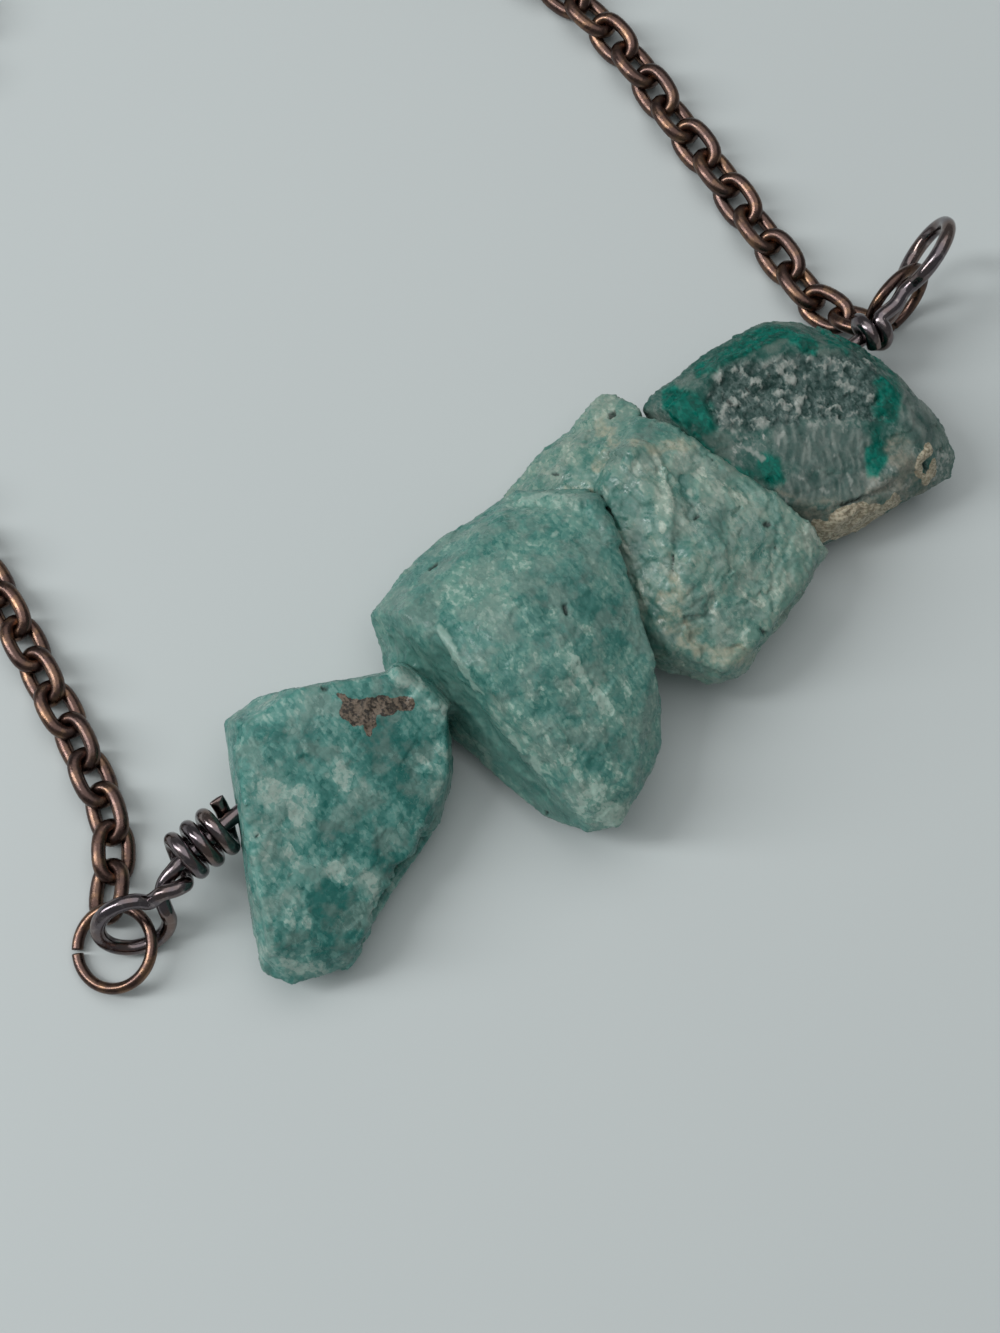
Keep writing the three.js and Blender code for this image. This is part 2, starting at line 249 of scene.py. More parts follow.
class Shader:
    """A material that is built node by node. Most methods add nodes and return the last one's output."""

    def __init__(self, name):
        self.material = bpy.data.materials.new(name)
        self.material.use_nodes = True
        self.nodes = self.material.node_tree.nodes
        self.links = self.material.node_tree.links
        self.nodes.clear()
        self.place = self.add("ShaderNodeTexCoord").outputs["Object"]

    def add(self, kind, inputs=None, **settings):
        """A node. Its inputs, by name or number, are links from other nodes or plain values."""
        node = self.nodes.new(kind)
        for name, value in settings.items():
            setattr(node, name, value)
        for name, value in (inputs or {}).items():
            if isinstance(value, bpy.types.NodeSocket):
                self.links.new(value, node.inputs[name])
            else:
                node.inputs[name].default_value = value
        return node

    def shifted(self, amount, stretch=(1, 1, 1), turn=(0, 0, 0)):
        """The place on the stone, moved, turned and stretched, so that textures differ."""
        inputs = {"Vector": self.place, "Location": (amount,) * 3, "Scale": stretch, "Rotation": turn}
        return self.add("ShaderNodeMapping", inputs).outputs["Vector"]

    def along_picture(self, stretch):
        """The place, drawn out `stretch` times along the photograph's width."""
        turn = (0, 0, -CAMERA_HEADING)
        inputs = {"Vector": self.place, "Rotation": turn, "Scale": (stretch, 1, 1)}
        return self.add("ShaderNodeMapping", inputs, vector_type="TEXTURE").outputs["Vector"]

    def warped(self, amount, size, at=None):
        """The place pushed about by noise, so that what is drawn there has ragged edges."""
        inputs = {"Vector": at or self.place, "Scale": 1 / size, "Detail": 4.0, "Roughness": 0.6}
        push = self.add("ShaderNodeTexNoise", inputs).outputs["Color"]
        spread = {0: push, 1: (amount, amount, amount), 2: at or self.place}
        return self.add("ShaderNodeVectorMath", spread, operation="MULTIPLY_ADD").outputs[0]

    def noise(self, size, detail=4.0, roughness=0.55, distortion=0.0, at=None):
        """Soft noise, mostly from 0.3 to 0.7."""
        inputs = {
            "Vector": at or self.place, "Scale": 1 / size, "Detail": detail,
            "Roughness": roughness, "Distortion": distortion,
        }
        return self.add("ShaderNodeTexNoise", inputs).outputs["Fac"]

    def cells(self, size, at):
        """Cells that each have a grey of their own."""
        return self.add("ShaderNodeTexVoronoi", {"Vector": at, "Scale": 1 / size}).outputs["Color"]

    def attribute(self, name):
        return self.add("ShaderNodeAttribute", attribute_name=name).outputs["Fac"]

    def math(self, operation, first, second=0.0):
        return self.add("ShaderNodeMath", {0: first, 1: second}, operation=operation).outputs[0]

    def fade(self, value, low, high, start=0.0, end=1.0):
        """Goes smoothly from start to end as the value goes from low to high."""
        inputs = {"Value": value, "From Min": low, "From Max": high, "To Min": start, "To Max": end}
        return self.add("ShaderNodeMapRange", inputs, interpolation_type="SMOOTHSTEP").outputs["Result"]

    def total(self, *terms):
        """The sum of weight times value over the terms."""
        result = 0.0
        for weight, value in terms:
            node = self.add("ShaderNodeMath", {0: value, 1: weight, 2: result}, operation="MULTIPLY_ADD")
            result = node.outputs[0]
        return result

    def ramp(self, value, *stops):
        """The colour at this value between stops of position and colour."""
        node = self.add("ShaderNodeValToRGB", {"Fac": value})
        elements = node.color_ramp.elements
        for number, (position, colour) in enumerate(stops):
            element = elements[number] if number < 2 else elements.new(position)
            element.position = position
            element.color = colour
        return node.outputs["Color"]

    def mix(self, factor, first, second):
        inputs = {0: factor, 6: first, 7: second}
        return self.add("ShaderNodeMix", inputs, data_type="RGBA").outputs[2]

    def bump(self, height, depth):
        return self.add("ShaderNodeBump", {"Height": height, "Distance": depth}).outputs["Normal"]

    def finish(self, inputs):
        surface = self.add("ShaderNodeBsdfPrincipled", inputs)
        self.add("ShaderNodeOutputMaterial", {"Surface": surface.outputs["BSDF"]})
        return self.material


# ---- metals ----
def gunmetal_copper():
    """Dark oxidised copper wire, smooth, with a brown bloom and fine draw lines."""
    s = Shader("gunmetal_copper")
    bloom = s.fade(s.noise(2.2 * MM, 3), 0.4, 0.7)
    worn = s.fade(s.noise(0.5 * MM, 4, at=s.shifted(0.3)), 0.52, 0.8)
    colour = s.mix(bloom, rgb(110, 102, 106), rgb(124, 106, 100))
    colour = s.mix(s.math("MULTIPLY", worn, 0.6), colour, rgb(190, 178, 174))
    scratches = s.noise(0.12 * MM, 3, at=s.shifted(0.1))
    return s.finish({
        "Base Color": colour,
        "Metallic": 1.0,
        "Roughness": s.fade(s.noise(0.9 * MM, 3), 0.3, 0.7, 0.12, 0.24),
        "Normal": s.bump(scratches, 0.006 * MM),
    })


def antique_copper():
    """Brown antiqued copper: dark in the hollows and golden brown where it is rubbed."""
    s = Shader("antique_copper")
    rubbed = s.fade(s.noise(0.8 * MM, 4), 0.42, 0.7)
    tarnish = s.fade(s.noise(3.0 * MM, 3, at=s.shifted(0.2)), 0.35, 0.65)
    colour = s.mix(rubbed, rgb(92, 72, 66), rgb(136, 106, 84))
    colour = s.mix(s.math("MULTIPLY", tarnish, 0.6), colour, rgb(82, 68, 66))
    return s.finish({
        "Base Color": colour,
        "Metallic": 1.0,
        "Roughness": s.fade(s.noise(0.5 * MM, 3), 0.3, 0.7, 0.22, 0.38),
        "Normal": s.bump(s.noise(0.15 * MM, 3, at=s.shifted(0.1)), 0.008 * MM),
    })


# ---- stone ----
TONE_SHIFT = -0.56  # brings the mean of a stone's mixed noises to 0.5


def stone_material(
    name, tones, patch_size, veils, gloss,
    grains=None, sand_stretch=1, clay=None, crust=None, fibres=None,
):
    """Feldspar: crystals of differing tint with ragged edges, fine veils, and marks, some painted glints and
    shade.

    `tones` are its deep, middle, pale and white. `patch_size` is the width of its blocks, `veils` how
    white its thin veils are and `gloss` its specular level. `grains` are the dark and the light of a
    sandy patch, drawn out `sand_stretch` times across the picture. `clay` has the two tints of
    weathered places, and `crust` and `fibres` go from dark to light.
    """
    s = Shader(name)
    ragged = s.warped(0.6 * patch_size, 0.5 * patch_size)
    tilted = s.shifted(0.11, (1.5, 0.8, 1.1), (0.3, 0.1, 0.5))
    broken = s.warped(0.16 * patch_size, 0.2 * patch_size, at=tilted)
    block = s.cells(patch_size, ragged)
    crystal = s.cells(0.5 * patch_size, broken)
    speck = s.cells(0.22 * patch_size, broken)
    drift = s.noise(4.5 * MM, 3, distortion=0.5)
    cloud = s.noise(1.2 * MM, 6, 0.68, 0.5, at=s.shifted(0.05))
    grain = s.noise(0.22 * MM, 4, 0.6, at=s.shifted(0.61))
    # cleavage shows as thin streaks that run one way
    streak = s.noise(1.0 * MM, 4, 0.6, at=s.shifted(0.21, (3.2, 0.35, 1.0), (0.4, 0.2, 0.7)))
    # white flecks, and on the slab stone the painted glints that its white marks carry
    flecks_and_glints = s.fade(s.total((0.75, s.attribute("white")), (0.5, crystal)), 0.56, 0.64)
    flecks_and_glints = s.math("MULTIPLY", flecks_and_glints, s.fade(grain, 0.35, 0.6, 0.55, 1.0))
    sparks = s.fade(speck, 0.66, 0.7)
    tone = s.total(
        (1.0, TONE_SHIFT),
        (0.5, drift), (0.2, block), (0.24, crystal), (0.14, speck), (0.45, cloud), (0.26, grain),
        (0.3, streak), (0.16, s.attribute("pale")), (0.24, flecks_and_glints), (0.1, sparks),
        # deeper tint, and on the slab stone one strip of painted shade beside the large stone
        (-0.2, s.attribute("deep")),
    )
    deep, middle, pale, white = tones
    colour = s.ramp(tone, (0.3, deep), (0.5, middle), (0.7, pale), (0.92, white))
    greyer = s.mix(0.3, colour, rgb(136, 142, 134))
    colour = s.mix(s.fade(s.noise(1.9 * MM, 5, 0.6, at=s.shifted(0.37)), 0.46, 0.6), colour, greyer)
    # veils are where a noise crosses its middle, in some parts of the stone
    crossing = s.math("SUBTRACT", s.noise(1.3 * MM, 5, 0.62, 1.2, at=s.shifted(0.43)), 0.5)
    thin = s.fade(s.math("ABSOLUTE", crossing), 0.0, 0.018, 1.0, 0.0)
    where = s.fade(s.noise(2.5 * MM, 3, at=s.shifted(0.83)), 0.48, 0.65)
    veil = s.math("MULTIPLY", s.math("MULTIPLY", thin, where), veils)
    colour = s.mix(veil, colour, white)
    if clay:
        weathering = s.total((1.0, -0.25), (0.8, streak), (0.7, grain))
        dull = s.ramp(weathering, (0.35, clay[0]), (0.65, clay[1]))
        covering = s.math("MULTIPLY", s.attribute("clay"), s.fade(cloud, 0.36, 0.6, 0.2, 0.8))
        colour = s.mix(covering, colour, dull)
    if fibres:
        strand = s.total((0.75, s.attribute("strand")), (0.5, cloud), (1.0, -0.125))
        wisps = s.ramp(strand, (0.15, fibres[0]), (0.5, fibres[1]), (0.9, fibres[2]))
        colour = s.mix(s.math("MULTIPLY", s.attribute("fibre"), 0.8), colour, wisps)
    if crust:
        knobs = s.noise(0.5 * MM, 5, 0.65, 0.6)
        clump = s.total((0.5, s.attribute("raised")), (0.7, knobs), (0.3, speck), (1.0, -0.19))
        rock = s.ramp(clump, (0.25, crust[0]), (0.45, crust[1]), (0.65, crust[2]), (0.85, white))
        colour = s.mix(s.attribute("crust"), colour, rock)
        green = s.ramp(tone, (0.15, rgb(0, 70, 60)), (0.5, rgb(0, 108, 94)), (0.95, rgb(44, 134, 118)))
        patchy = s.fade(cloud, 0.3, 0.45, 0.7, 1.0)
        colour = s.mix(s.math("MULTIPLY", s.attribute("emerald"), patchy), colour, green)
    if grains:
        fine = s.noise(0.16 * MM, 4, 0.65, at=s.along_picture(sand_stretch))
        sand = s.mix(s.fade(s.total((0.25, speck), (0.75, fine)), 0.42, 0.6), *grains)
        ragged_edge = s.fade(s.total((0.8, s.attribute("sand")), (0.4, cloud)), 0.5, 0.62)
        colour = s.mix(ragged_edge, colour, sand)
    # thin white veins, and on the slab stone short painted glints
    colour = s.mix(s.math("MULTIPLY", s.attribute("vein_and_glint"), 0.6), colour, white)
    # near black: dark specks and pits, and on the slab and green stones painted shade at a pocket's end and
    # in a slit
    colour = s.mix(s.math("MULTIPLY", s.attribute("dark"), 0.85), colour, rgb(16, 30, 27))
    rubble = s.noise(0.45 * MM, 6, 0.7, at=s.shifted(0.47))
    relief = s.total((0.4, rubble), (0.4, crystal), (0.3, block), (0.2, speck))
    dullness = s.total((0.5, crystal), (0.5, s.noise(0.8 * MM, 4)))
    return s.finish({
        "Base Color": colour,
        "Roughness": s.fade(dullness, 0.3, 0.7, 0.22, 0.55),
        "IOR": 1.53,
        "Specular IOR Level": gloss,
        "Subsurface Weight": 0.15,
        "Subsurface Radius": (0.5, 1.0, 0.9),
        "Subsurface Scale": 0.7 * MM,
        "Normal": s.bump(relief, 0.06 * MM),
    })


def teal_amazonite():
    return stone_material(
        "teal_amazonite",
        tones=(rgb(40, 106, 99), rgb(74, 132, 124), rgb(110, 154, 145), rgb(156, 182, 172)),
        patch_size=1.5 * MM, veils=0.3, gloss=0.3,
        grains=(rgb(48, 42, 36), rgb(118, 104, 90)),
    )


def mint_amazonite():
    return stone_material(
        "mint_amazonite",
        tones=(rgb(56, 112, 104), rgb(82, 132, 123), rgb(110, 150, 138), rgb(158, 184, 172)),
        patch_size=1.2 * MM, veils=0.35, gloss=0.3,
        fibres=(rgb(52, 98, 91), rgb(74, 118, 109), rgb(96, 134, 124)),
    )


def pale_amazonite():
    return stone_material(
        "pale_amazonite",
        tones=(rgb(70, 120, 110), rgb(102, 139, 127), rgb(132, 156, 142), rgb(178, 192, 178)),
        patch_size=1.4 * MM, veils=0.45, gloss=0.55,
        clay=(rgb(134, 146, 128), rgb(170, 168, 146)),
    )


def emerald_amazonite():
    return stone_material(
        "emerald_amazonite",
        tones=(rgb(38, 84, 76), rgb(70, 102, 95), rgb(106, 124, 118), rgb(162, 168, 162)),
        patch_size=1.1 * MM, veils=0.3, gloss=0.15,
        grains=(rgb(142, 133, 113), rgb(194, 184, 162)), sand_stretch=5,
        clay=(rgb(104, 110, 100), rgb(146, 142, 128)),
        crust=(rgb(46, 70, 66), rgb(88, 106, 102), rgb(142, 148, 142)),
        fibres=(rgb(58, 84, 79), rgb(86, 104, 99), rgb(128, 138, 132)),
    )


MATERIALS = {
    "gunmetal_copper": gunmetal_copper,
    "antique_copper": antique_copper,
    "teal_amazonite": teal_amazonite,
    "mint_amazonite": mint_amazonite,
    "pale_amazonite": pale_amazonite,
    "emerald_amazonite": emerald_amazonite,
}

# ---- chain: one free length of cable chain from the left jump ring through a coil to the right one ----
LINK_LENGTH = 0.0045
LINK_WIDTH = 0.003
LINK_WIRE = 0.00095
LINK_PITCH = LINK_LENGTH - 2 * LINK_WIRE
LINK_LEAN = math.radians(30)  # links lie alternately on one side and the other
LINK_TWIST = math.radians(9)  # and all of them are turned a little towards the camera
TWIST_RISE = (0.004, 0.014)  # the twist comes in between these distances from an end
LINK_STEPS = 32  # round a link
LINK_SIDES = 12  # round its wire
CHAIN_STEP = 0.2 * MM
END_HOOK = 0.0015  # the last link reaches this far past the cord's end, round its jump ring
FIRST_LINK_AT = 0.0017  # the middle of the first link, from the hooked end
LEFT_CHAIN = [
    (-0.02935, 0.0035, 0.00142), (-0.0274, 0.0057, 0.00142), (-0.0264, 0.0077, 0.00142),
    (-0.0257, 0.0102, 0.00142), (-0.0249, 0.0140, 0.00142), (-0.0243, 0.0180, 0.00142),
    (-0.0234, 0.0234, 0.00142), (-0.0228, 0.0310, 0.00142), (-0.0235, 0.0400, 0.00142),
    (-0.0257, 0.0500, 0.00142), (-0.0285, 0.0600, 0.00142), (-0.03025, 0.0682, 0.00142),
]
RIGHT_CHAIN = [
    (0.0064, 0.07665, 0.0029), (0.0092, 0.0744, 0.00175), (0.0126, 0.0716, 0.00142),
    (0.0170, 0.0678, 0.00142), (0.0211, 0.0632, 0.00142), (0.0249, 0.0579, 0.00142),
    (0.0286, 0.0520, 0.00142), (0.0330, 0.0435, 0.00142), (0.0354, 0.0360, 0.00142),
    (0.0356, 0.0291, 0.00142), (0.0350, 0.0241, 0.00142), (0.0346, 0.0189, 0.00142),
    (0.0340, 0.0138, 0.00142), (0.0338, 0.0112, 0.00142), (0.03355, 0.0088, 0.00142),
    (0.0334, 0.0066, 0.0015), (0.0338, 0.0048, 0.0018), (0.03433, 0.00327, 0.00235),
]
COIL_CENTRE = np.array([-0.01205, 0.0732, 0.0])
COIL_TURNS = 2.32
COIL_STEPS = 16  # to a turn
COIL_TURN_RADII = (0.0156, 0.0128, 0.0142)  # outer and inner turn on the floor, then the turn on top
INNER_TURN_RISE = (0.8, 1.1)  # it goes over to the inner turn between these turns
TOP_TURN_RISE = (1.75, 2.1)  # and climbs on top of them between these
COIL_LOW = 0.00142  # the height of a cord that lies on the floor
COIL_HIGH = 0.00384  # and of one that lies on another
CHAIN_SETTLE = 0.3  # leaning links lie lower than a round cord, by this part of its height
TWIST_LIFT = 0.09  # and twisted ones not quite so low
SETTLE_RISE = (0.0024, 0.0064)  # that comes in at this distance from the right jump ring


def coil_points():
    """Clockwise from the coil's left side: an outer turn, an inner turn and the rest on top of them."""
    outer, inner, top = COIL_TURN_RADII
    points = []
    for step in range(1, int(COIL_TURNS * COIL_STEPS) + 1):
        turn = step / COIL_STEPS
        angle = math.pi - 2 * math.pi * turn
        inwards = rise(turn, *INNER_TURN_RISE)
        climb = rise(turn, *TOP_TURN_RISE)
        radius = outer + (inner - outer) * inwards + (top - inner) * climb
        height = COIL_LOW + (COIL_HIGH - COIL_LOW) * climb
        points.append(COIL_CENTRE + (radius * math.cos(angle), radius * math.sin(angle), height))
    return points


def twisted(at, length):
    """How far the twist has come in at this length along the chain, from 0 to 1."""
    return rise(np.minimum(at, length - at), *TWIST_RISE)


def chain_line():
    """The cord's route, hooked on at each end and let down to where leaning links lie."""
    line = smooth_line(placed([*LEFT_CHAIN, *coil_points(), *RIGHT_CHAIN]), CHAIN_STEP)
    first, last = (end / np.linalg.norm(end) for end in (line[0] - line[1], line[-1] - line[-2]))
    line = spaced(np.vstack([line[0] + first * END_HOOK, line, line[-1] + last * END_HOOK]), CHAIN_STEP)
    along = length_along(line)
    settle = CHAIN_SETTLE - TWIST_LIFT * twisted(along, along[-1])
    line[:, 2] *= 1 - settle * rise(along[-1] - along, *SETTLE_RISE)
    return line


def link_shape():
    """One link lying along X in the XY plane: a rod bent to a long oval."""
    end = (LINK_WIDTH - LINK_WIRE) / 2
    straight = (LINK_LENGTH - LINK_WIRE) / 2 - end
    angles = np.linspace(0, 2 * math.pi, LINK_STEPS, endpoint=False)
    lengthways = end * np.cos(angles) + straight * np.tanh(2 * np.cos(angles))
    oval = np.stack([lengthways, end * np.sin(angles), np.zeros_like(angles)], axis=1)
    return rod(oval, LINK_WIRE / 2, LINK_SIDES, closed=True)


def make_chain():
    line = chain_line()
    length = length_along(line)[-1]
    run = length - 2 * FIRST_LINK_AT
    count = round(run / LINK_PITCH) + 1
    shape, quads = link_shape()
    vertices, faces = [], []
    for number, at in enumerate(FIRST_LINK_AT + np.linspace(0, run, count)):
        behind, middle, ahead = point_at(line, at + LINK_PITCH / 2 * np.array([-1, 0, 1]))
        forwards = (ahead - behind) / np.linalg.norm(ahead - behind)
        level = np.cross([0.0, 0.0, 1.0], forwards)
        level /= np.linalg.norm(level)
        upwards = np.cross(forwards, level)
        twist = LINK_TWIST * twisted(at, length) * (level @ TOWARDS_CAMERA)
        lean = (LINK_LEAN if number % 2 else -LINK_LEAN) - twist
        width_way = level * math.cos(lean) + upwards * math.sin(lean)
        axes = np.stack([forwards, width_way, np.cross(forwards, width_way)])
        faces.append(quads + len(vertices) * len(shape))
        vertices.append(shape @ axes + middle)
    mesh = new_mesh("cable_chain", np.vstack(vertices), np.vstack(faces).tolist())
    chain = add_piece("cable_chain", mesh, "antique_copper", "left_chain", "right_chain", "chain_coil")


make_chain()

# ---- wire ----
WIRE_RADIUS = 0.0005
WIRE_SIDES = 20
WIRE_STEP = 0.08 * MM
CUT_LENGTH = 0.7 * MM  # the cutter has pinched this much of the tail
CUT_WIDTH = 0.25  # at its tip, as a part of the wire's
WRAP_STEPS = 10  # to a turn
WIRE_HEIGHT = 0.0044
WIRE_Y = 0.0018
LEFT_LOOP = ((-0.0292, 0.00055, 0.00255), (0.934, -0.345, 0.093), (-0.085, -0.469, -0.879), 0.00225)
RIGHT_LOOP = ((0.03954, 0.00339, 0.00581), (0.912, 0.328, 0.245), (-0.096, -0.41, 0.907), 0.00245)


def wraps(start, pitch, turns, radius, y, first_angle, bunching=0.0):
    """Turns round the bar's axis; angles are seen from +X. `bunching` is the part of the pitch that
    is taken up underneath the bar."""
    turn = np.arange(round(turns * WRAP_STEPS) + 1) / WRAP_STEPS
    angles = np.radians(first_angle + 360 * turn)
    return np.stack([
        start + pitch * (turn + bunching * np.cos(angles)),
        y + radius * np.cos(angles),
        WIRE_HEIGHT + radius * np.sin(angles),
    ], axis=1)


def wire_line():
    left_tail = [
        (-0.0204, 0.0032, 0.0049), (-0.02042, 0.0029, 0.00435), (-0.02048, 0.0026, 0.00385),
        (-0.02065, 0.0021, 0.0033), (-0.02098, 0.00145, 0.00305),
    ]
    left_wraps = wraps(-0.02488, 0.00122, 3.1, 0.00135, 0.0016, -162, bunching=0.14)[::-1]
    left_crossing = [
        (-0.0252, 0.00015, 0.00445), (-0.0258, 0.0002, 0.00475), (-0.0266, 0.0005, 0.00475),
    ]
    left_loop = circle_points(LEFT_LOOP, 315, -5, 14)
    left_neck = [(-0.0268, 0.0006, 0.0035), (-0.0261, 0.00115, 0.004), (-0.0252, 0.00135, 0.00435)]
    left_core = [(-0.0244, 0.0015, 0.0044), (-0.0224, 0.00155, 0.0044), (-0.0207, 0.00173, 0.0044)]
    core = [(x, WIRE_Y, WIRE_HEIGHT) for x in (-0.016, 0.0, 0.014, 0.028, 0.034)]
    right_neck = [(0.0352, 0.00185, 0.00445), (0.0363, 0.0022, 0.00455), (0.0372, 0.0027, 0.00445)]
    right_loop = circle_points(RIGHT_LOOP, 205, 515, 14)
    right_crossing = [(0.0367, 0.0023, 0.00575), (0.0356, 0.00195, 0.00565)]
    right_wraps = wraps(0.0341, -0.00107, 1.15, 0.00112, WIRE_Y, 90)
    route = [
        left_tail, left_wraps, left_crossing, left_loop, left_neck, left_core, core,
        right_neck, right_loop, right_crossing, right_wraps,
    ]
    return smooth_line(placed(np.vstack(route)), WIRE_STEP)


def make_wire():
    line = wire_line()
    along = np.arange(len(line)) * WIRE_STEP
    taper = CUT_WIDTH + (1 - CUT_WIDTH) * rise(along, 0, CUT_LENGTH) ** 0.7
    add_rod("copper_wire", line, WIRE_RADIUS, WIRE_SIDES, "gunmetal_copper", "bar_wire", taper)


make_wire()

# ---- jump rings ----
RING_RADIUS = 0.0026
RING_WIRE_RADIUS = 0.00038
RING_OPENING = 6  # degrees
RING_STEPS = 160
RING_SIDES = 18
LEFT_RING = ((-0.03105, 0.00045, 0.0012), (0.895, -0.331, 0.298), (0.347, 0.938, 0.0), RING_RADIUS)
RIGHT_RING = ((0.03706, 0.0028, 0.00295), (0.9977, 0.0673, 0.0), (-0.0147, 0.2177, 0.9759), RING_RADIUS)


def make_ring(name, circle, opening_at, node):
    start = opening_at + RING_OPENING / 2
    line = placed(circle_points(circle, start, start + 360 - RING_OPENING, RING_STEPS))
    add_rod(name, line, RING_WIRE_RADIUS, RING_SIDES, "antique_copper", node)


make_ring("left_ring", LEFT_RING, 166, "left_jump_ring")
make_ring("right_ring", RIGHT_RING, 262, "right_jump_ring")

# ---- stones ----
# Each mark is (half-width, point, ...): a line of that half-width through the points, in pixels.
LEFT_MARKS = {
    "deep": [
        (22, (382, 738), (392, 770)), (9, (264, 732), (284, 738)), (20, (326, 900), (334, 945)),
        (12, (318, 830), (345, 836)), (8, (306, 758), (308, 728)), (10, (412, 800), (424, 812)),
        (8, (370, 856), (390, 870)), (9, (345, 900), (352, 940)),
    ],
    "pale": [
        (18, (266, 785), (300, 800)), (13, (333, 768), (352, 785)), (12, (335, 868), (368, 880)),
        (9, (372, 890), (374, 915)), (9, (442, 750), (436, 765)), (12, (272, 955), (305, 962), (335, 962)),
        (12, (258, 712), (300, 705)), (10, (405, 682), (440, 712)), (12, (303, 810), (306, 835)),
        (10, (262, 830), (266, 850)), (8, (392, 842), (402, 850)),
    ],
    "white": [
        (9, (268, 788), (282, 794)), (7, (290, 806), (300, 822)), (6, (300, 790), (312, 800)),
        (8, (338, 770), (347, 782)), (7, (334, 868), (344, 880)), (6, (362, 872), (372, 886)),
        (5, (289, 910), (292, 928)), (5, (306, 921), (307, 926)), (7, (417, 762), (424, 770)),
        (6, (442, 748), (446, 752)), (8, (394, 676), (400, 684)), (5, (442, 706), (446, 712)),
        (5, (287, 846), (288, 852)), (3, (319, 711), (320, 714)), (4, (356, 908), (358, 916)),
        (5, (433, 788), (435, 796)), (4, (400, 826), (401, 830)), (5, (419, 824), (418, 830)),
        (3, (240, 748)), (5, (285, 962), (320, 966)), (4, (303, 742), (305, 748)), (3, (390, 756)),
    ],
    "sand": [
        (7, (342, 696), (348, 702)), (12, (350, 709), (368, 709)), (9, (372, 708), (390, 706)),
        (7, (390, 707), (405, 705)), (9, (358, 720), (368, 722)), (5, (366, 729), (368, 732)),
    ],
    "smooth": [(7, (231, 712), (235, 780), (245, 850), (252, 910), (260, 950))],
    "dark": [(1.8, (322, 689), (327, 690)), (1.5, (257, 836))],
    "vein_and_glint": [(0.9, (392, 877), (399, 874)), (0.8, (416, 782), (440, 783))],
    "ridge": [(4, (238, 725), (241, 780), (247, 830), (252, 880), (259, 930))],
    "swell": [(12, (405, 676), (440, 700))],
    "dent": [(27, (398, 920), (420, 884)), (18, (430, 866), (442, 842)), (14, (380, 944), (388, 930))],
}
LARGE_MARKS = {
    "deep": [
        (9, (502, 689), (508, 695)), (10, (591, 752), (594, 760)), (9, (614, 603), (620, 640)),
        (8, (584, 578)), (10, (546, 670), (552, 680)), (8, (563, 712), (570, 720)), (10, (613, 745)),
        (9, (541, 640), (546, 646)), (12, (570, 590), (600, 620)), (8, (560, 775), (566, 780)),
    ],
    "pale": [
        (26, (485, 592), (492, 606)), (15, (518, 560), (548, 552)), (22, (592, 798), (610, 815)),
        (10, (515, 507), (570, 507)), (9, (573, 660), (580, 676)), (12, (452, 600), (465, 575)),
        (8, (496, 700), (540, 755), (575, 790)), (10, (600, 690), (608, 720)),
    ],
    "vein_and_glint": [
        (1.6, (440, 626), (468, 673), (489, 696)), (1.7, (492, 701), (508, 730), (531, 757), (552, 783)),
        (1.0, (513, 503), (530, 505), (550, 501), (567, 506)), (0.8, (540, 546), (557, 534)),
    ],
    "white": [
        (3.5, (523, 608), (531, 632)), (3, (496, 630)), (2.5, (511, 656), (512, 668)),
        (3, (529, 682), (533, 698)), (2.5, (540, 688), (545, 698), (545, 704)), (3, (529, 720), (534, 724)),
        (4, (545, 738), (549, 750)), (4, (568, 647), (574, 658)), (6, (574, 662), (580, 672)),
        (6, (562, 684), (572, 692)), (4, (586, 682), (592, 690)), (7, (600, 696), (604, 708)),
        (6, (570, 726), (575, 730)), (4, (586, 728), (600, 729)), (7, (564, 752), (571, 758)),
        (4, (577, 766), (580, 778)), (5, (615, 624), (617, 627)), (5, (583, 628), (589, 630)),
        (5, (635, 742), (639, 750)), (4, (608, 765), (616, 766), (617, 778)), (5, (614, 788), (626, 789)),
        (4, (594, 785), (602, 788)), (3, (626, 684), (628, 692)), (3, (623, 718), (626, 722)),
        (3, (520, 664), (521, 670)), (3, (556, 655)), (3, (552, 612)), (3, (600, 650), (602, 656)),
        (3, (536, 655), (538, 662)), (2.5, (547, 622)), (3, (610, 668)), (10, (592, 800), (612, 814)),
        (4, (604, 740)),
    ],
    "smooth": [
        (24, (430, 575), (410, 610)), (18, (455, 555), (475, 560)),
        (20, (430, 650), (480, 715), (530, 780), (560, 810)),
    ],
    "fibre": [(14, (435, 655), (470, 710), (525, 775), (560, 812)), (12, (400, 640), (425, 668))],
    "dark": [(1.9, (431, 570), (438, 565)), (1.7, (565, 606), (566, 614)), (1.3, (548, 812))],
    "ridge": [(4, (440, 626), (468, 673), (489, 696), (508, 730), (531, 757), (552, 783), (565, 801))],
    "groove": [(6, (432, 640), (470, 700), (512, 750), (545, 790))],
    "swell": [
        (16, (405, 668), (440, 700)), (10, (520, 496), (545, 496), (580, 500)),
        (7, (592, 506), (612, 540)),
    ],
}
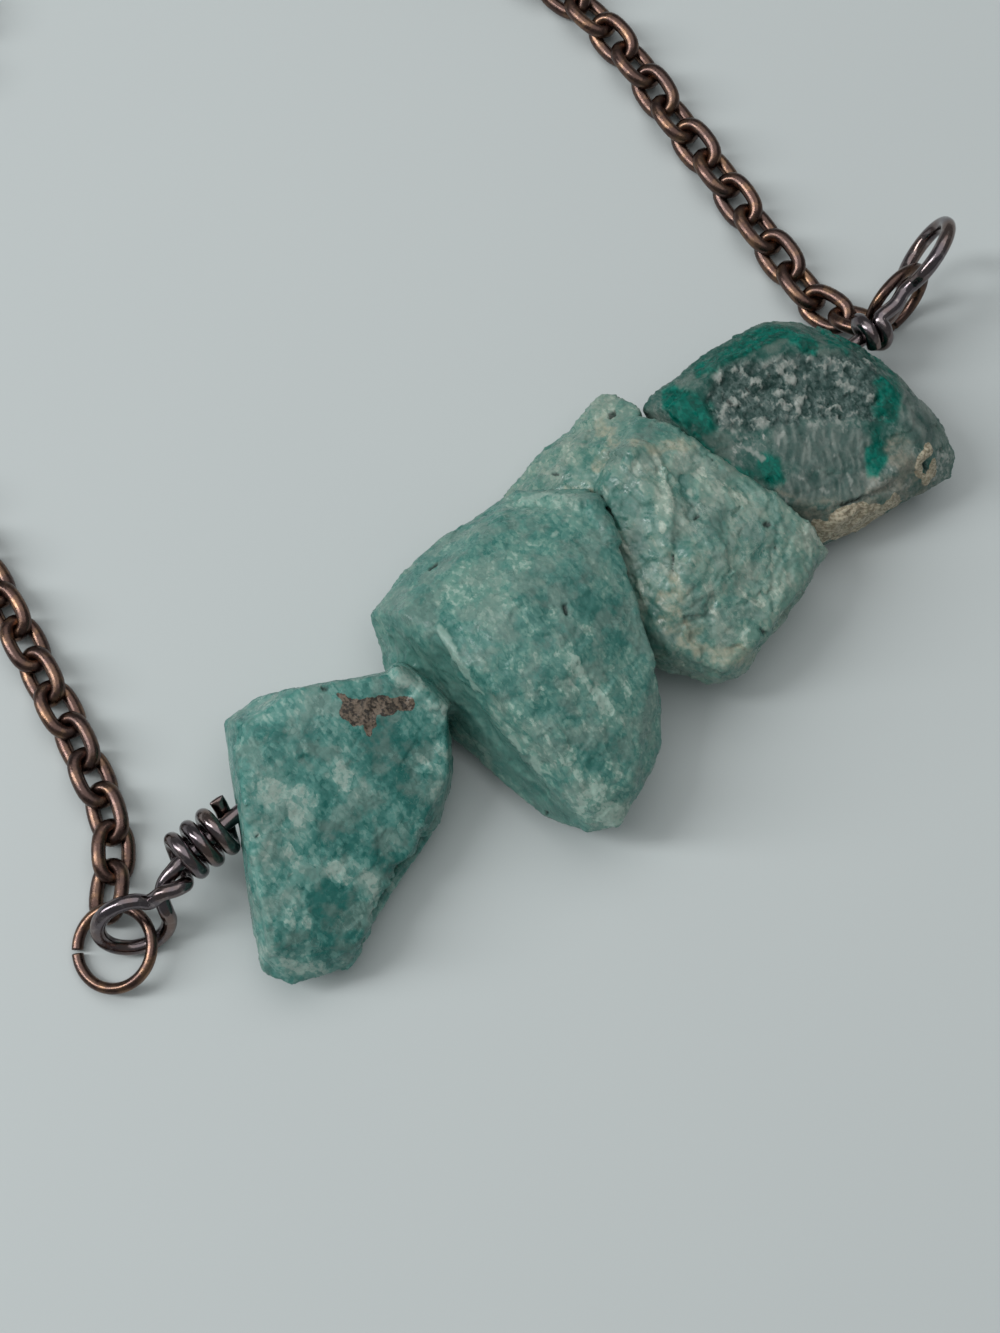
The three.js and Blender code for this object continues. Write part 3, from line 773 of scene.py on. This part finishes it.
SLAB_MARKS = {
    "deep": [
        (12, (606, 485), (612, 520)), (12, (630, 495), (642, 506)), (7, (688, 480), (695, 512)),
        (8, (679, 544), (684, 550)), (11, (700, 526), (714, 527)), (11, (730, 606), (733, 618)),
        # (654, 600) to (650, 645) is painted shade on the slab's strip beside the large stone; the others
        # here mark deeper teal
        (9, (654, 600), (650, 645)), (9, (645, 432), (672, 436)), (10, (752, 535), (755, 552)),
        (8, (707, 616), (713, 620)), (9, (640, 540), (650, 560)),
    ],
    "pale": [
        (9, (571, 448), (572, 460)), (12, (600, 410)), (8, (655, 444), (690, 450)),
        (12, (810, 530), (820, 545)), (10, (700, 480), (760, 520)), (9, (672, 572), (680, 560)),
        (9, (735, 560), (745, 575)), (10, (780, 580), (760, 600)), (10, (655, 545), (665, 560)),
        (9, (662, 490), (664, 510)),
    ],
    # the small marks at (604, 488), (618, 484) and (661, 524) are painted glints; the others are white
    # flecks
    "white": [
        (3, (611, 436), (607, 448)), (2.5, (661, 524), (663, 530)), (3, (639, 580), (646, 604)),
        (3, (711, 602), (716, 622)), (4, (811, 532), (820, 542)), (2.5, (771, 555), (772, 570)),
        (3, (598, 472), (605, 468)), (2.5, (655, 458), (664, 482), (670, 500)),
        (2.5, (700, 470), (745, 500)), (4, (672, 572), (684, 590)), (3, (738, 592), (762, 606)),
        (2.5, (624, 542), (628, 552)), (3, (604, 488), (607, 492)), (3, (618, 484), (620, 488)),
    ],
    # all of these but the two at (639, 579) and (771, 555) are painted glints; those two are white veins
    "vein_and_glint": [
        (1.3, (634, 466), (637, 475)), (1.3, (641, 487), (645, 495)), (1.4, (690, 491), (692, 496)),
        (1.2, (661, 525), (664, 528)), (0.9, (639, 579), (645, 592), (643, 602)),
        (0.8, (771, 555), (770, 570)), (1.2, (605, 489), (606, 491)), (1.0, (696, 508), (698, 512)),
    ],
    "clay": [
        (9, (664, 598), (676, 616)), (8, (664, 622), (700, 630)), (8, (684, 640), (696, 648)),
        (9, (716, 658), (745, 654)), (8, (672, 578), (684, 596)), (7, (600, 424), (612, 436), (616, 444)),
        (5, (596, 468), (606, 456)), (5, (572, 490), (590, 494)), (6, (633, 447), (658, 452), (690, 446)),
    ],
    "dark": [
        (2.4, (611, 416), (614, 415)), (1.7, (554, 475), (558, 475)), (2.2, (765, 525), (768, 526)),
        # (695, 519) on the next line is painted shade at the end of the groove's pocket
        (1.3, (712, 461)), (1.8, (775, 548)), (1.2, (760, 629), (763, 632)), (1.8, (695, 519), (698, 517)),
        (0.9, (672, 556), (673, 572)), (1.5, (611, 455)), (1.3, (728, 528)),
    ],
    "ridge": [
        (5, (597, 474), (612, 465), (626, 452), (656, 449), (690, 452)),
        (4, (657, 457), (665, 483), (670, 507), (671, 537)), (4, (640, 580), (646, 604)),
    ],
    "groove": [
        (7, (688, 478), (694, 515)), (7, (679, 540), (682, 556)), (5, (604, 488), (607, 520)),
        (4, (673, 558), (673, 578)), (8, (620, 494), (638, 508)), (5, (712, 600), (708, 618)),
    ],
}
GREEN_MARKS = {
    "deep": [
        (30, (692, 404), (704, 436)), (20, (703, 372), (760, 344)), (14, (780, 340), (845, 345)),
        (16, (755, 470), (775, 470)), (17, (884, 390), (879, 438)), (10, (742, 388), (760, 384)),
    ],
    "emerald": [
        (18, (690, 404), (698, 424)), (13, (769, 466), (770, 472)), (10, (827, 336), (843, 341)),
        (13, (888, 385), (886, 408)), (8, (877, 434), (878, 442)), (9, (875, 454), (877, 466)),
        (8, (703, 368), (718, 360), (735, 351)), (9, (735, 350), (762, 340), (781, 335)),
        (9, (781, 335), (801, 342), (812, 346)), (8, (720, 468), (745, 476)),
        (11, (672, 398), (676, 412)), (7, (700, 440), (706, 452)),
    ],
    "pale": [
        (16, (862, 486), (900, 484)), (11, (945, 460), (950, 470)), (8, (811, 428), (822, 438)),
        (12, (906, 452), (894, 470)), (10, (826, 496), (846, 500)), (8, (930, 440), (938, 484)),
    ],
    "white": [
        (4, (827, 380), (842, 376)), (3, (867, 418), (871, 420)), (4, (870, 366), (874, 370)),
        (3, (762, 435), (765, 438)), (3, (712, 400), (716, 406)), (4, (757, 404), (766, 410)),
        (4, (780, 400), (794, 402)), (3, (734, 394), (744, 396)), (3, (870, 394), (873, 398)),
        (6, (865, 482), (905, 484)), (3, (720, 376), (723, 382)),
    ],
    "crust": [
        (22, (735, 385), (800, 375), (850, 375)), (20, (730, 408), (760, 412), (800, 402), (850, 400)),
        (10, (712, 400), (722, 420)), (12, (868, 372), (870, 410)), (10, (860, 352), (866, 362)),
    ],
    "fibre": [(24, (795, 445), (850, 450)), (16, (800, 484), (850, 488)), (14, (905, 400), (925, 436))],
    "vein_and_glint": [
        (1.5, (732, 430), (741, 444), (752, 452), (763, 459)),
        (1.2, (785, 463), (796, 475), (812, 485), (828, 493)),
        (1.0, (779, 449), (777, 440), (783, 434), (790, 433)), (0.9, (806, 430), (807, 444)),
        (0.9, (846, 470), (851, 482), (850, 494)), (0.8, (832, 440), (834, 456)),
    ],
    "sand": [
        (10, (824, 528), (852, 518), (876, 507)), (6, (876, 507), (893, 498)),
        (4, (926, 452), (919, 458), (918, 472), (925, 480), (931, 474), (930, 460)),
        (3, (924, 446), (926, 452)),
    ],
    "clay": [
        (8, (775, 400), (800, 398)), (8, (786, 492), (812, 506)), (15, (906, 474), (898, 446)),
        (13, (866, 486), (905, 484)), (9, (910, 494), (928, 486)), (9, (822, 500), (850, 494)),
        (8, (806, 516), (848, 508)), (6, (848, 507), (888, 494)),
    ],
    "dark": [
        # (842, 505) to (860, 499) is painted shade in the slit under the sandy ledge
        (1.6, (842, 505), (860, 499)), (2.0, (924, 463), (925, 469)),
        (1.6, (727, 400), (731, 404)), (1.4, (745, 388), (750, 392)),
    ],
    "ridge": [
        (7, (828, 526), (860, 515), (888, 500)), (4, (926, 452), (919, 458), (918, 472), (925, 480)),
        (4, (931, 474), (930, 460)),
    ],
    "groove": [(4, (838, 508), (862, 500), (890, 487)), (3, (924, 463), (925, 470))],
}
# Kinds that colour a stone; the others only shape it.
COLOUR_MARKS = ("deep", "pale", "white", "vein_and_glint", "sand", "clay", "emerald", "crust", "fibre", "dark")
SHAPE_MARKS = ("ridge", "groove", "swell", "dent", "smooth")
EDGE_WOBBLE = 7  # pixels
VEIN_AND_GLINT_WOBBLE = 28  # pixels
FULL_WOBBLE_WIDTH = 8  # pixels; the edges of marks with a smaller half-width wobble less
STRAND_SIZE = (4.5, 26)  # pixels across and along a wisp
STRAND_WOBBLE = 9  # pixels
VOXEL = 0.14 * MM
ROUNDED_OFF = 0.14  # mm that the rounding of the edges takes off the stones


def cloud(points, size, octaves=3, seed=0.0):
    """Fractal noise, mostly from -1 to 1, with features about `size` across."""
    shift = Vector((seed, 2 * seed, 3 * seed))
    return np.array([noise.fractal(Vector(p) / size + shift, 1.0, 2.0, octaves) for p in points])


def facets(points, size, seed=0.0):
    """Small planes that tilt each their own way, as in broken feldspar, from about -0.5 to 0.5."""
    shift = Vector((seed, 2 * seed, 3 * seed))
    middle = Vector((0.5, 0.5, 0.5))
    heights = []
    for p in points:
        place = Vector(p) / size + shift
        nearest = noise.voronoi(place)[1][0]
        heights.append((place - nearest).dot(noise.cell_vector(nearest * 7.31) - middle))
    return np.array(heights)


def terraces(points, size, steps, seed=0.0):
    """Level ground with short slopes between, as cleavage leaves it, from about -1 to 1."""
    level = cloud(points, size, 2, seed) * steps
    part = level - np.floor(level)
    return (np.floor(level) + rise(part, 0.8, 1)) / steps


def flakes(points, size, seed=0.0):
    """Cells at random levels with sharp edges, from 0 to 1."""
    shift = Vector((seed, 2 * seed, 3 * seed))
    return np.array([noise.cell(noise.voronoi(Vector(p) / size + shift)[1][0] * 9.17) for p in points])


def strands(pixels, points, heading, seed):
    """Fine wisps that run across the picture at `heading` degrees, clockwise from its right, from 0 to 1."""
    turn = math.radians(heading)
    along = pixels @ (math.cos(turn), math.sin(turn))
    across = pixels @ (-math.sin(turn), math.cos(turn)) + STRAND_WOBBLE * cloud(points, 3.0 * MM, 2, seed)
    drawn = np.stack([across / STRAND_SIZE[0], along / STRAND_SIZE[1], np.full(len(pixels), seed)], axis=1)
    return np.clip(0.5 + 0.8 * cloud(drawn, 1.0, 3, seed), 0, 1)


def on_marks(pixels, marks, wobble):
    """1 on the marks and 0 away from them, with edges that wobble by that many pixels."""
    covered = np.zeros(len(pixels))
    for half_width, *points in marks:
        points = [np.array(p, float) for p in points]
        nearest = np.full(len(pixels), np.inf)
        for start, end in zip(points, points[1:] or points):
            way = end - start
            t = np.clip((pixels - start) @ way / max(way @ way, 1e-9), 0, 1)
            nearest = np.minimum(nearest, np.linalg.norm(pixels - start - t[:, None] * way, axis=1))
        edge = (nearest + wobble * min(1.0, half_width / FULL_WOBBLE_WIDTH)) / half_width
        covered = np.maximum(covered, 1 - rise(edge, 0.65, 1.25))
    return covered * covered * (3 - 2 * covered)


def remeshed(node, rounding):
    """A copy of a CAD stone as an even mesh whose edges are rounded."""
    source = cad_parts[node]
    copy = bpy.data.objects.new(node + "_copy", source.data.copy())
    bpy.context.scene.collection.objects.link(copy)
    weld = bmesh.new()
    weld.from_mesh(copy.data)
    bmesh.ops.remove_doubles(weld, verts=weld.verts, dist=1e-7)
    weld.to_mesh(copy.data)
    weld.free()
    remesh = copy.modifiers.new("remesh", "REMESH")
    remesh.mode = "VOXEL"
    remesh.voxel_size = VOXEL
    smooth = copy.modifiers.new("smooth", "SMOOTH")
    smooth.factor = 0.5
    smooth.iterations = rounding
    evaluated = copy.evaluated_get(bpy.context.evaluated_depsgraph_get())
    mesh = bpy.data.meshes.new_from_object(evaluated)
    bpy.data.objects.remove(copy)
    return mesh


def vectors(collection, name):
    """A vector of each item of a mesh's collection, as the rows of an array."""
    values = np.empty(len(collection) * 3, np.float32)
    collection.foreach_get(name, values)
    return values.reshape(-1, 3).astype(float)


def painted(points, normals, waves, marks, seed, heading):
    """A mask over the vertices for each kind of mark, with colour by chance on the hidden side."""
    pixels = pixels_of(points)
    sight = points - EYE
    sight /= np.linalg.norm(sight, axis=1)[:, None]
    facing = -(normals * sight).sum(axis=1)
    seen = rise(facing, 0, 0.25)
    upper = rise(facing, -0.8, 0)
    masks = {}
    for kind in (*COLOUR_MARKS, *SHAPE_MARKS):
        reach = upper if kind in (*SHAPE_MARKS, "sand") else seen
        wobble = waves * (VEIN_AND_GLINT_WOBBLE if kind == "vein_and_glint" else EDGE_WOBBLE)
        masks[kind] = on_marks(pixels, marks.get(kind, []), wobble) * reach
    unseen = 1 - seen
    far = cloud(points, 4.0 * MM, 3, seed + 3)
    masks["pale"] += unseen * rise(far, 0.15, 0.65)
    masks["white"] += unseen * rise(-far, 0.25, 0.75)
    if "crust" in marks:
        masks["crust"] += unseen * rise(3 * cloud(points, 6 * MM, 2, seed + 5), 0, 1)
        masks["emerald"] += unseen * rise(3 * cloud(points, 5 * MM, 2, seed + 9), 0.3, 1.3)
    masks["raised"] = 0.55 * flakes(points, 0.8 * MM, seed + 6) + 0.45 * flakes(points, 0.45 * MM, seed + 7)
    masks["strand"] = strands(pixels, points, heading, seed)
    return masks


def relief(points, masks, waves, seed, rough):
    """How far each vertex moves out along its normal, in millimetres."""
    broken = rough * (1 - 0.6 * masks["smooth"])
    height = ROUNDED_OFF + broken * (
        0.16 * cloud(points, 4.5 * MM, 2, seed + 1)
        + 0.20 * terraces(points, 3.6 * MM, 3, seed + 8)
        + 0.34 * facets(points, 2.4 * MM, seed)
        + 0.22 * facets(points, 1.0 * MM, seed + 4)
        + 0.10 * facets(points, 0.5 * MM, seed + 10)
        + 0.05 * waves
    )
    height += masks["crust"] * (0.26 * masks["raised"] - 0.12)
    height += 0.07 * masks["fibre"] * (masks["strand"] - 0.5)
    height += 0.1 * masks["ridge"] - 0.18 * masks["groove"] - 0.14 * masks["dark"]
    height += 0.4 * masks["swell"] - 1.05 * masks["dent"]
    return height


def make_stone(name, node, slot, marks, seed, rounding, rough, heading=0):
    """A CAD stone with a broken surface and its marks. `heading` is the way its wisps run."""
    mesh = remeshed(node, rounding)
    mesh.name = name
    points = vectors(mesh.vertices, "co")
    normals = vectors(mesh.vertex_normals, "vector")
    waves = cloud(points, 1.1 * MM, 3, seed)
    masks = painted(points, normals, waves, marks, seed, heading)
    outwards = relief(points, masks, waves, seed, rough) * MM
    # what lies on the floor stays flat
    outwards *= rise(points[:, 2], 0.1 * MM, 0.6 * MM)
    points += normals * outwards[:, None]
    points[:, 2] = np.maximum(points[:, 2], 0.01 * MM)
    mesh.vertices.foreach_set("co", points.astype(np.float32).ravel())
    for kind in (*COLOUR_MARKS, "raised", "strand"):
        layer = mesh.attributes.new(kind, "FLOAT", "POINT")
        layer.data.foreach_set("value", np.clip(masks[kind], 0, 1).astype(np.float32))
    mesh.update()
    add_piece(name, mesh, slot, node)


make_stone(
    "left_stone", "left_nugget", "teal_amazonite", LEFT_MARKS,
    seed=1.0, rounding=5, rough=0.5,
)
make_stone(
    "large_stone", "large_nugget", "mint_amazonite", LARGE_MARKS,
    seed=21.0, rounding=4, rough=0.6, heading=52,
)
make_stone(
    "slab_stone", "slab_nugget", "pale_amazonite", SLAB_MARKS,
    seed=41.0, rounding=5, rough=1.0,
)
make_stone(
    "green_stone", "green_nugget", "emerald_amazonite", GREEN_MARKS,
    seed=61.0, rounding=5, rough=0.7, heading=80,
)

# ---- floor and light ----
FLOOR_HALF = 1.5  # half the length of a side


def make_floor():
    s = Shader("backdrop")
    paper = s.finish({
        "Base Color": s.mix(s.noise(0.05, 2), rgb(196, 202, 203), rgb(200, 206, 206)),
        "Roughness": 0.7,
    })
    corners = np.array([(-1, -1, 0), (1, -1, 0), (1, 1, 0), (-1, 1, 0)]) * FLOOR_HALF
    mesh = new_mesh("floor", corners, [(0, 1, 2, 3)])
    mesh.materials.append(paper)
    floor = bpy.data.objects.new("floor", mesh)
    bpy.context.scene.collection.objects.link(floor)


def add_light(name, place, size, height, power, colour):
    """A soft box that faces the bar."""
    data = bpy.data.lights.new(name, "AREA")
    data.shape = "RECTANGLE"
    data.size = size
    data.size_y = height
    data.energy = power
    data.color = colour
    light = bpy.data.objects.new(name, data)
    light.location = place
    light.rotation_euler = (-Vector(place)).to_track_quat("-Z", "Y").to_euler()
    bpy.context.scene.collection.objects.link(light)


def make_world():
    world = bpy.data.worlds.new("studio")
    world.use_nodes = True
    backdrop = world.node_tree.nodes["Background"]
    backdrop.inputs["Color"].default_value = (0.80, 0.86, 0.87, 1)
    backdrop.inputs["Strength"].default_value = 0.22
    bpy.context.scene.world = world


make_floor()
make_world()
add_light("ceiling", (0.10, 0.125, 0.75), size=0.9, height=0.9, power=2.8, colour=(1.0, 1.0, 0.99))
add_light("window", (-0.328, 0.262, 0.36), size=0.10, height=0.45, power=1.7, colour=(0.98, 1.0, 1.0))
bpy.context.scene.view_settings.view_transform = "Standard"
